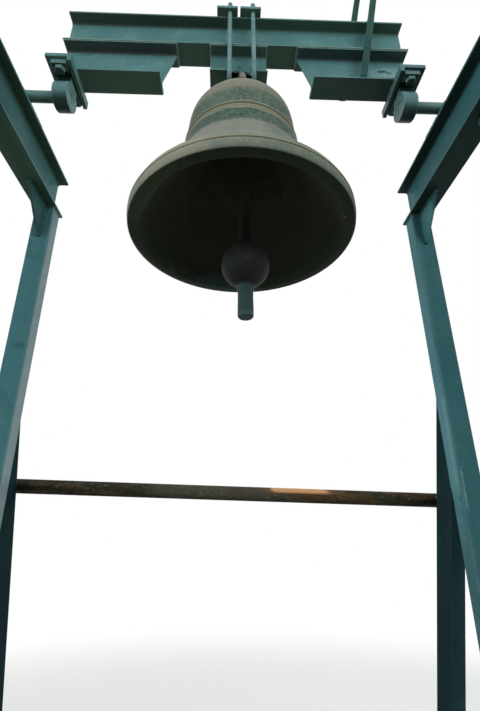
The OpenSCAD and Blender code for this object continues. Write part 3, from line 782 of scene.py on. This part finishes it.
def dressNode(node, kind):
    mesh = bpy.data.meshes.new(camelName(node))
    with reshaping(mesh, frame["nodes"][node].data) as shape:
        bmesh.ops.remove_doubles(shape, verts=shape.verts, dist=1e-5)
        if kind == "seat":
            slopeSeat(shape, 1 if node.startswith("right") else -1, **seatSlope)
        bmesh.ops.dissolve_limit(shape, angle_limit=radians(0.4), verts=shape.verts, edges=shape.edges)
    shadeSmooth(mesh, 32)
    if kind in ownPaint:
        mesh.materials.append(materials[ownPaint[kind]])
    piece = addPiece(newObject(camelName(node), mesh), bodyOf[node], slotOf[node])
    if steelEdges[kind] > 0:
        rounding = piece.modifiers.new("rounding", "BEVEL")
        rounding.width = steelEdges[kind]
        rounding.segments = 2
        rounding.limit_method = "ANGLE"
        rounding.angle_limit = radians(40)
        rounding.harden_normals = True
        rounding.use_clamp_overlap = True
    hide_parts(node)


for node in frame["nodes"]:
    kind = node.split("_")[-1]
    if kind in steelEdges:
        dressNode(node, kind)
print("steel pieces have rounded edges")


# Even steps from one end to the other, such as an arc's angles
def evenly(start, end, steps):
    return [start + (end - start) * step / steps for step in range(steps + 1)]


# Revolved pieces: a profile of (radius, height) points, turned about an upright axis
def spinProfile(name, profile, centre, segments, marks):
    vertices, rings, faces = [], [], []
    values = {label: [] for label in marks}
    for index, (radius, height) in enumerate(profile):
        count = 1 if radius < 1e-6 else segments
        rings.append(range(len(vertices), len(vertices) + count))
        for angle in evenly(0, 2 * pi, segments)[:count]:
            vertices.append((centre[0] + radius * cos(angle), centre[1] + radius * sin(angle), height))
        for label in marks:
            values[label] += [marks[label][index]] * count
    for low, high in zip(rings, rings[1:]):
        if len(low) == len(high) == 1:
            continue
        for step in range(segments):
            corners = ((low, step), (low, step + 1), (high, step + 1), (high, step))
            faces.append(tuple(dict.fromkeys(ring[at % len(ring)] for ring, at in corners)))  # poles count once
    mesh = bpy.data.meshes.new(name)
    mesh.from_pydata(vertices, [], faces)
    for label in marks:
        mesh.attributes.new(label, "FLOAT", "POINT").data.foreach_set("value", values[label])
    with reshaping(mesh) as shape:
        bmesh.ops.remove_doubles(shape, verts=shape.verts, dist=2e-5)
        faceOut(shape)
    return mesh


# A smooth line through all points
def smoothLine(points, steps):
    padded = [points[0], *points, points[-1]]
    line = []
    for a, b, c, d in zip(padded, padded[1:], padded[2:], padded[3:]):
        for t in (step / steps for step in range(steps)):
            square = (2 * a - 5 * b + 4 * c - d) * t ** 2
            cube = (3 * b - a - 3 * c + d) * t ** 3
            line.append((2 * b + (c - a) * t + square + cube) / 2)
    return [*line, points[-1]]


# The bell: its stations are shares of the mouth's radius, the height and the bow's extra thickness
bellShape = {
    "radius": 0.35,
    "height": 0.526,
    "wall": 0.019,
    "bow": 0.052,
    "mouth": 2.425,
    "centre": (0.015, 0.0),
    "lip": 0.992,
    "lipInner": 0.897,
    "lipStart": (0.0, 0.0006),  # from the inner lip: across and up
    "lipFoot": (0.0025, 0.0),
    "lipTurn": ((-0.003, 0.0), (-0.0008, 0.001), (0.0006, 0.0035)),  # from the outer lip: across and up
    "rim": ((-0.005, -0.0008), (-0.008, 0.0)),  # from the head's edge: across and up
    "wireRadius": 0.003,
    "wires": {0.065: 0.7, 0.637: 0.3, 0.667: 1.0},  # height share: how much of it stands out
    "stations": [
        (1.000, 0.040, 0.95), (0.976, 0.100, 1.00), (0.904, 0.160, 0.75), (0.820, 0.219, 0.50),
        (0.736, 0.286, 0.33), (0.654, 0.379, 0.18), (0.596, 0.479, 0.08), (0.558, 0.585, 0.02),
        (0.533, 0.705, 0.00), (0.517, 0.811, 0.00), (0.498, 0.880, 0.00), (0.458, 0.934, 0.00),
        (0.398, 0.972, 0.00), (0.330, 0.994, 0.00),
    ],
    "segments": 144,
}


def makeBell(radius, height, wall, bow, mouth, centre, lip, lipInner, lipStart, lipFoot, lipTurn, rim, wireRadius,
             wires, stations, segments):
    outer = [Vector((across * radius, up * height)) for across, up, thick in stations]
    inner = []
    for index in range(1, len(stations)):
        step = (outer[min(index + 1, len(outer) - 1)] - outer[index - 1]).normalized()
        inner.append(outer[index] + Vector((-step.y, step.x)) * (wall + (bow - wall) * stations[index][2]))
    outerLine, innerLine = smoothLine(outer, 8), smoothLine(inner, 6)
    profile, onWire = [], []

    def put(across, up, proud=0.0):
        profile.append((across, mouth + up))
        onWire.append(proud)

    # from the inner lip round the outside to the head, then the inside back to the lip
    lip, lipInner = lip * radius, lipInner * radius
    for across, up in (lipStart, lipFoot):
        put(lipInner + across, up)
    put((lip + lipInner) / 2, 0)
    for across, up in lipTurn:
        put(lip + across, up)
    underLip = len(profile) - 2
    wireHeights = {share * height: proud for share, proud in wires.items()}
    for (r0, h0), (r1, h1) in zip(outerLine, outerLine[1:]):
        if all(abs(h0 - w) >= wireRadius * 1.25 for w in wireHeights):
            put(r0, h0)
        for w, proud in wireHeights.items():
            if h0 <= w < h1:
                middle = r0 + (r1 - r0) * (w - h0) / (h1 - h0)
                for step, angle in enumerate(evenly(-pi / 2, pi / 2, 8)):
                    bulge = wireRadius * proud * max(cos(angle), 0.0) - 0.0002 * (step in (0, 8))
                    put(middle + bulge, w + wireRadius * sin(angle), proud if 1 < step < 8 else 0.0)
    edge = outerLine[-1][0]
    put(*outerLine[-1])
    for across, up in rim:
        put(edge + across, height + up)
    put(0, height)
    outside = len(profile)
    put(0, innerLine[-1][1])
    for point in reversed(innerLine):
        put(*point)
    put(lipInner + lipStart[0], lipStart[1])
    # the lip's underside counts as inside, so it takes the inside's painted shade
    inside = [float(index < underLip or index >= outside) for index in range(len(profile))]
    mesh = spinProfile("bell", profile, centre, segments, {"wire": onWire, "inside": inside})
    shadeSmooth(mesh, 50)
    print("bell profile:", len(profile), "points")
    piece = addPiece(newObject("bellCasting", mesh), "bell", "bell_bronze")
    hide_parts("bell")


makeBell(**bellShape)


# The crown: a post and four loops, fused and softened like one casting
crownShape = {
    "base": (0.015, 0.0, 2.951),  # the middle of the bell's head
    "height": 0.164,
    "post": 0.028,
    # height and share of the radius
    "postFoot": ((-0.003, 1.5), (0.004, 1.38), (0.012, 1.16), (0.022, 1.05), (0.035, 1.0)),
    "loop": 0.015,
    "loopFoot": (0.0, 0.12, 0.25, 0.45, 0.7, 1.0),  # shares of the leg; it is thicker up to 0.3
    "reach": 0.090,
    "bend": 0.062,
    "leg": 0.0867,
    "sink": 0.003,  # how far the legs start below the head
    "drop": 0.036,  # the front and rear loops lie lower
    "stop": 0.014,  # and end this far from the middle
    "grain": 0.0026,
}


def sweepTube(shape, path, radii, sides):
    rings = []
    for index, point in enumerate(path):
        before, after = path[max(index - 1, 0)], path[min(index + 1, len(path) - 1)]
        along = (after - before).normalized()
        side = along.orthogonal().normalized() if index == 0 else (side - along * side.dot(along)).normalized()
        other = along.cross(side)
        around = [side * cos(angle) + other * sin(angle) for angle in evenly(0, 2 * pi, sides)[:-1]]
        rings.append([shape.verts.new(point + way * radii[index]) for way in around])
    for low, high in zip(rings, rings[1:]):
        for step in range(sides):
            after = (step + 1) % sides
            shape.faces.new((low[step], low[after], high[after], high[step]))
    shape.faces.new(rings[0][::-1])
    shape.faces.new(rings[-1])


# Turns what the modifiers make into a plain mesh on the same object
def makePlain(holder):
    made = bpy.data.meshes.new_from_object(holder.evaluated_get(bpy.context.evaluated_depsgraph_get()))
    holder.modifiers.clear()
    holder.data = made
    return holder


def makeCrown(base, height, post, postFoot, loop, loopFoot, reach, bend, leg, sink, drop, stop, grain):
    base = Vector(base)
    mesh = bpy.data.meshes.new("crownRough")
    with reshaping(mesh) as shape:
        for quarter in range(4):
            top = leg - drop * (quarter % 2)
            turn = Matrix.Rotation(quarter * pi / 2, 3, "Z")
            path = [Vector((reach, 0, -sink + (top + sink) * share)) for share in loopFoot]
            radii = [loop * (1 + 0.22 * max(0.0, 1 - share / 0.3)) for share in loopFoot]
            for angle in evenly(0, pi / 2, 9)[1:]:
                path.append(Vector((reach - bend + bend * cos(angle), 0, top + bend * sin(angle))))
            path.append(Vector((stop * (quarter % 2), 0, top + bend)))
            radii += [loop - 0.0005] * 10
            sweepTube(shape, [turn @ point + base for point in path], radii, 24)
        heights = [up for up, share in postFoot] + [height - 0.006, height - 0.001]
        radii = [post * share for up, share in postFoot] + [post, post - 0.004]
        sweepTube(shape, [base + Vector((0, 0, up)) for up in heights], radii, 40)
        faceOut(shape)
    holder = newObject("crownCasting", mesh)
    fuse = holder.modifiers.new("fuse", "REMESH")
    fuse.mode = "VOXEL"
    fuse.voxel_size = grain
    soften = holder.modifiers.new("soften", "SMOOTH")
    soften.factor = 0.5
    soften.iterations = 5
    piece = addPiece(makePlain(holder), "bell", "bell_bronze")
    piece.data.shade_smooth()
    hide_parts("bell_crown")


makeCrown(**crownShape)


# The clapper: shank, ball and flight are one forging, with an eye round the staple's pin
clapperShape = {
    "centre": (0.027, 0.0),
    "pivot": 2.859,
    "flightEnd": 2.145,
    "flight": 0.0235,
    "tip": (0.0145, 0.0155, 0.008),  # flat radius, where the rounding starts and its height
    "flightLine": ((0.0235, 0.03), (0.0229, 0.06)),  # radius and height above the end
    "ball": 2.321,
    "ballRadius": 0.0725,
    "ballCaps": (0.385, 0.37),  # angles that the collar and the neck take
    "collarLine": (  # radius and height from the ball's middle
        (0.0231, -0.088), (0.0247, -0.085), (0.0253, -0.081), (0.0253, -0.075), (0.0251, -0.0715),
    ),
    "neckLine": ((0.0232, 0.0705), (0.0207, 0.0755), (0.0193, 0.083)),
    "shankLow": 0.019,
    "shankTop": 0.014,
    "shankEnd": 2.842,
    "eyeRadius": 0.030,
    "eyeHole": 0.01215,
    "eyeHalf": 0.018,
    "eyeRound": 0.004,
    "segments": 56,
}


def makeClapper(centre, pivot, flightEnd, flight, tip, flightLine, ball, ballRadius, ballCaps, collarLine, neckLine,
                shankLow, shankTop, shankEnd, eyeRadius, eyeHole, eyeHalf, eyeRound, segments):
    flat, start, rise = tip
    profile = [(0, flightEnd), (flat, flightEnd)]
    for angle in evenly(0, pi / 2, 6)[1:]:
        profile.append((start + (flight - start) * sin(angle), flightEnd + rise * (1 - cos(angle))))
    profile += [(radius, flightEnd + up) for radius, up in flightLine]
    profile += [(radius, ball + up) for radius, up in collarLine]
    for angle in evenly(ballCaps[0] - pi / 2, pi / 2 - ballCaps[1], 30):
        profile.append((ballRadius * cos(angle), ball + ballRadius * sin(angle)))
    profile += [(radius, ball + up) for radius, up in neckLine]
    neck = profile[-1][1]
    profile += list(zip(evenly(shankLow, shankTop, 8), evenly(neck, shankEnd, 8)))[1:]
    profile += [(shankTop - 0.002, shankEnd + 0.0015), (0, shankEnd + 0.0015)]
    mesh = spinProfile("clapperForging", profile, centre, segments, {})
    # the eye is a ring with rounded edges
    ring = [(eyeHole, -eyeHalf + 0.001), (eyeHole + 0.001, -eyeHalf)]
    for angle in evenly(0, pi / 2, 4):
        ring.append((eyeRadius - eyeRound + eyeRound * sin(angle), -eyeHalf + eyeRound - eyeRound * cos(angle)))
    ring += [(r, -x) for r, x in reversed(ring)]
    with reshaping(mesh) as shape:
        loops = []
        for angle in evenly(0, 2 * pi, segments)[:-1]:
            points = [(centre[0] + x, centre[1] + r * cos(angle), pivot + r * sin(angle)) for r, x in ring]
            loops.append([shape.verts.new(point) for point in points])
        for here, there in zip(loops, loops[1:] + loops[:1]):
            for index in range(len(ring)):
                after = (index + 1) % len(ring)
                shape.faces.new((here[index], here[after], there[after], there[index]))
        faceOut(shape)
    shadeSmooth(mesh, 42)
    piece = addPiece(newObject("clapperForging", mesh), "clapper", "clapper_iron")
    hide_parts("clapper")


makeClapper(**clapperShape)
print("bell, crown and clapper are made")


# Geometry Nodes for what repeats: weld beads, seams, threads and nuts

def growTree(name, takes):
    takes = {"Geometry": "Geometry", **takes, "Finish": "Material"}
    return newTree(name, takes, {"Geometry": "Geometry"}, "GeometryNodeTree")


def grow(tree, kind, inputs=None, **settings):
    return outOf(tree, "GeometryNode" + kind, inputs, **settings)


def finishTree(shape, given, out, smooth=True):
    tree = shape.id_data
    shaded = grow(tree, "SetShadeSmooth", {0: grow(tree, "RealizeInstances", {0: shape}), 2: smooth})
    wire(out, {0: grow(tree, "SetMaterial", {0: shaded, 2: given["Finish"]})})
    return tree


def pointsAlong(given):
    tree = given["Geometry"].id_data
    path = grow(tree, "MeshToCurve", {0: given["Geometry"]})
    return grow(tree, "ResampleCurve", {"Curve": path, "Length": given["Step"]}, mode="LENGTH")


def randomBetween(low, high, seed, kind="FLOAT"):
    first, second, result = (2, 3, 1) if kind == "FLOAT" else (0, 1, 0)
    inputs = {first: low, second: high, 8: seed}
    return addNode(seed.id_data, "FunctionNodeRandomValue", inputs, data_type=kind).outputs[result]


def randomTurn(low, high, seed):
    angles = randomBetween(low, high, seed, "FLOAT_VECTOR")
    return outOf(seed.id_data, "FunctionNodeEulerToRotation", {0: angles})


frameWelds = {"Width": 0.0075, "Step": 0.0046, "Ripple": 0.55, "Raggedness": 0.18, "Seed": 4}
headstockWelds = {**frameWelds, "Width": 0.0066, "Step": 0.0042, "Raggedness": 0.3, "Seed": 11}
leverWelds = {**frameWelds, "Width": 0.006, "Seed": 7}


def makeBeadTree():
    tree, given, out = growTree("weldBead", frameWelds)
    drop = grow(tree, "MeshUVSphere", {"Segments": 8, "Rings": 5, "Radius": 0.5})
    along = outOf(tree, "FunctionNodeAlignRotationToVector", {2: grow(tree, "InputTangent")}, axis="Z")
    tilt = randomTurn((-0.22, -0.22, 0.0), (0.22, 0.22, 3.1), given["Seed"])
    turned = outOf(tree, "FunctionNodeRotateRotation", {0: along, 1: tilt}, rotation_space="LOCAL")
    uneven = given["Raggedness"]
    size = times(randomBetween(minus(1.0, uneven), plus(1.0, uneven), given["Seed"]), given["Width"])
    scale = outOf(tree, "ShaderNodeCombineXYZ", {0: size, 1: size, 2: times(size, given["Ripple"])})
    inputs = {"Points": pointsAlong(given), "Instance": drop, "Rotation": turned, "Scale": scale}
    return finishTree(grow(tree, "InstanceOnPoints", inputs), given, out)


groundSeams = {"Width": 0.0052, "Step": 0.014, "Unevenness": 0.35, "Seed": 9}


def makeSeamTree():
    tree, given, out = growTree("groundSeam", groundSeams)
    uneven = randomBetween(minus(1.0, given["Unevenness"]), 1.0, given["Seed"])
    section = grow(tree, "CurvePrimitiveCircle", {"Resolution": 6, "Radius": times(given["Width"], 0.5)})
    inputs = {"Curve": pointsAlong(given), "Profile Curve": section, "Scale": uneven, "Fill Caps": True}
    return finishTree(grow(tree, "CurveToMesh", inputs), given, out)


threads = {"Rod Radius": 0.008, "Turns": 12.0, "Pitch": 0.0021, "Depth": 0.0011}


def makeThreadTree():
    tree, given, out = growTree("rodThread", threads)
    helix = grow(tree, "CurveSpiral", {
        "Resolution": 20, "Rotations": given["Turns"], "Start Radius": given["Rod Radius"],
        "End Radius": given["Rod Radius"], "Height": times(given["Pitch"], given["Turns"]),
    })
    tooth = grow(tree, "CurvePrimitiveCircle", {"Resolution": 4, "Radius": given["Depth"]})
    ridge = grow(tree, "CurveToMesh", {"Curve": helix, "Profile Curve": tooth, "Fill Caps": True})
    inputs = {"Points": given["Geometry"], "Instance": ridge}
    return finishTree(grow(tree, "InstanceOnPoints", inputs), given, out)


nuts = {
    "Nut Width": 0.030, "Nut Height": 0.015, "Washer Radius": 0.019, "Washer Height": 0.003,
    "Stud Radius": 0.010, "Stud Height": 0.026, "Seed": 5,
}


def makeNutTree():
    tree, given, out = growTree("nutAndStud", nuts)
    straight = 0.84  # share of the nut below its chamfer, and of its width at the top

    def cone(sides, low, high, depth, base):
        inputs = {"Vertices": sides, "Radius Bottom": low, "Radius Top": high, "Depth": depth}
        place = outOf(tree, "ShaderNodeCombineXYZ", {2: base})
        return grow(tree, "Transform", {0: grow(tree, "MeshCone", inputs), 1: place})

    corner = times(given["Nut Width"], 0.5 / cos(pi / 6))
    tall, washer, stud = given["Nut Height"], given["Washer Radius"], given["Stud Radius"]
    body, base = times(tall, straight), given["Washer Height"]
    parts = (
        cone(24, washer, washer, base, 0.0),
        cone(6, corner, corner, body, base),
        cone(6, corner, times(corner, straight), times(tall, 1 - straight), plus(base, body)),
        cone(20, stud, stud, given["Stud Height"], 0.0),
    )
    joined = tree.nodes.new("GeometryNodeJoinGeometry")
    for part in parts:
        wire(joined.inputs, {0: part})
    turned = randomTurn((0, 0, 0), (0, 0, 1.05), given["Seed"])
    inputs = {"Points": given["Geometry"], "Instance": joined.outputs[0], "Rotation": turned}
    return finishTree(grow(tree, "InstanceOnPoints", inputs), given, out, smooth=False)


def growPiece(name, tree, lines, body, slot, values, finish=None):
    vertices, edges = [], []
    for line in lines:
        edges += [(len(vertices) + step, len(vertices) + step + 1) for step in range(len(line) - 1)]
        vertices += [tuple(point) for point in line]
    mesh = bpy.data.meshes.new(name + "Path")
    mesh.from_pydata(vertices, edges, [])
    holder = newObject(name, mesh)
    grower = holder.modifiers.new("grow", "NODES")
    grower.node_group = tree
    values = {**values, "Finish": materials[finish or slot]}
    for item in tree.interface.items_tree:
        if item.item_type == "SOCKET" and item.in_out == "INPUT" and item.name in values:
            grower[item.identifier] = values[item.name]
    piece = addPiece(makePlain(holder), body, slot)
    print(" ", name, len(piece.data.polygons), "faces")


# Weld lines follow the edges where the steel pieces meet, read from the nodes' own boxes
sides = {"left": 1, "right": -1}  # which way the middle lies along X
ends = {"front": -1, "rear": 1}  # which way is away from the bell along Y
weldSizes = {
    "sink": 0.001,  # how deep the beads' middle lines lie in the steel
    "gussetEnds": (0.006, 0.004),  # what stays bare at a gusset's thin end and in its corner
    "strutDepth": 0.100,
    "strutEdge": 0.0028,
    "tubeHeight": {"left": 1.7128, "right": 1.6673},
    "tubeFlat": 0.0105,
    "bracketFoot": 0.027,
    "webHalf": 0.003,
    "leverWidth": 0.025,
    "flange": 0.008,
    "seamInset": 0.0012,
    "seamEnds": 0.01,
}
sink = weldSizes["sink"]


def corners(node):
    low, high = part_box(node)
    return Vector(low), Vector(high)


# The far end of a span on the given way, then the near one
def endsOn(way, low, high):
    return (high, low) if way > 0 else (low, high)


# One of x, y and z is a pair, for the line's two ends
def line(x, y, z):
    return list(zip(*(value if isinstance(value, tuple) else (value, value) for value in (x, y, z))))


def rectangle(low, high, z):
    return [(low.x, low.y, z), (high.x, low.y, z), (high.x, high.y, z), (low.x, high.y, z), (low.x, low.y, z)]


def frameLines():
    thin, corner = weldSizes["gussetEnds"]
    for side, toward in sides.items():
        low, high = corners(side + "_shaft_seat")
        yield rectangle(low, high, low.z + sink)
        for end, back in ends.items():
            low, high = corners(f"{side}_{end}_gusset")
            postY, freeY = endsOn(back, low.y, high.y)
            y = postY - back * sink
            for x in (low.x, high.x):
                yield line(x, (freeY + back * thin, postY - back * corner), high.z - sink)
                yield line(x, y, (high.z - corner, low.z + thin))
            low, high = corners(f"{side}_{end}_post")
            for z in (high.z - sink, low.z + sink):
                yield rectangle(low, high, z)
            y = endsOn(back, low.y, high.y)[0] + back * sink
            low, high = corners(f"{side}_{end}_strut")
            run = (high.y - low.y) / (high.z - low.z)
            foot = weldSizes["strutDepth"] * sqrt(1 + run * run)
            far = endsOn(back, low.y, high.y)[0]
            low.y, high.y = sorted((far, far - back * foot))
            yield rectangle(low, high, low.z + sink)
            edge = weldSizes["strutEdge"]
            inner, outer = endsOn(toward, low.x + edge, high.x - edge)
            top, bottom = high.z, high.z - foot / run
            yield line(inner, y, (bottom, top))
            for z in (top, bottom):
                yield line((inner, outer), y, z)
    for side in sides:
        low, high = corners(side + "_rear_strut")
        run = (high.y - low.y) / (high.z - low.z)
        lean = sqrt(1 + run * run)
        middle, half = weldSizes["tubeHeight"][side], weldSizes["tubeFlat"]
        back = low.y + run * (high.z - middle) + sink  # the strut's outer face at the tube's height
        for up in (-half, half):
            yield line((low.x + sink, high.x - sink), back - run * up / lean, middle + up / lean)


def headstockLines():
    rim = 2 * sink
    for node in ("left_block", "centre_block", "right_block"):
        low, high = corners(node)
        for y in (low.y, high.y):
            yield line((low.x + sink, high.x - sink), y, high.z)
        facesX = {"left_block": (high.x,), "centre_block": (low.x, high.x), "right_block": (low.x,)}
        for x in facesX[node]:
            yield line(x, (low.y + rim, high.y - rim), high.z - sink)
    for side, toward in sides.items():
        low, high = corners(side + "_bracket")
        blockLow, blockHigh = corners(side + "_block")
        inner = endsOn(toward, low.x, high.x)[0]
        z = high.z + sink / 2
        for y in (-weldSizes["webHalf"], weldSizes["webHalf"]):
            yield line((inner, inner - toward * weldSizes["bracketFoot"]), y, z)
        for z in (high.z, blockLow.z - sink / 2):
            yield line(inner, (blockLow.y + rim, blockHigh.y - rim), z)


def leverLines():
    width, flange = weldSizes["leverWidth"], weldSizes["flange"]
    beamLow, beamHigh = corners("upper_beam")
    for node in ("front_lever_bar", "rear_lever_bar"):
        low, high = corners(node)
        slope = (high.x - low.x - width) / (high.z - low.z)
        y = high.y if abs(high.y) < abs(low.y) else low.y
        for span in ((beamHigh.z - flange, beamHigh.z), (beamLow.z - flange, beamLow.z + flange)):
            for edge in (low.x, low.x + width):
                yield [(edge + slope * (z - low.z), y, z) for z in span]
        yield line((low.x + sink, low.x + width - sink), y, low.z + sink / 2)


def postSeams():
    inset, bare = weldSizes["seamInset"], weldSizes["seamEnds"]
    for side, toward in sides.items():
        for end in ends:
            low, high = corners(f"{side}_{end}_post")
            inner, outer = endsOn(toward, low.x + inset, high.x - inset)
            for x, y in ((inner, low.y + inset), (outer, high.y - inset)):
                yield line(x, y, (low.z + bare, high.z - bare))


# Threads start on top of the rods' nuts, and nuts stand on top of the brackets
topSizes = {"nutTop": 3.441, "rods": 0.056, "bolts": 0.062, "bracketTop": 3.103}


def pairsOver(kind, spread, height):
    for side in sides:
        low, high = corners(side + kind)
        for y in (-spread, spread):
            yield [((low.x + high.x) / 2, y, height)]


rodTops = pairsOver("_hanger", topSizes["rods"], topSizes["nutTop"] + sink / 2)
bossTops = pairsOver("_boss", topSizes["bolts"], topSizes["bracketTop"])
beadTree = makeBeadTree()
growPiece("frameWelds", beadTree, frameLines(), "frame", "frame_paint", frameWelds)
# paler weld beads on the headstock, partly a painted highlight
growPiece("headstockWelds", beadTree, headstockLines(), "bell", "headstock_paint", headstockWelds, "weld")
growPiece("leverWelds", beadTree, leverLines(), "bell", "headstock_paint", leverWelds)
growPiece("postSeams", makeSeamTree(), postSeams(), "frame", "frame_paint", groundSeams)
growPiece("rodThreads", makeThreadTree(), rodTops, "bell", "hanger_steel", threads)
growPiece("bossNuts", makeNutTree(), bossTops, "bell", "bearing_paint", nuts)
print("welds, seams, threads and nuts are on")
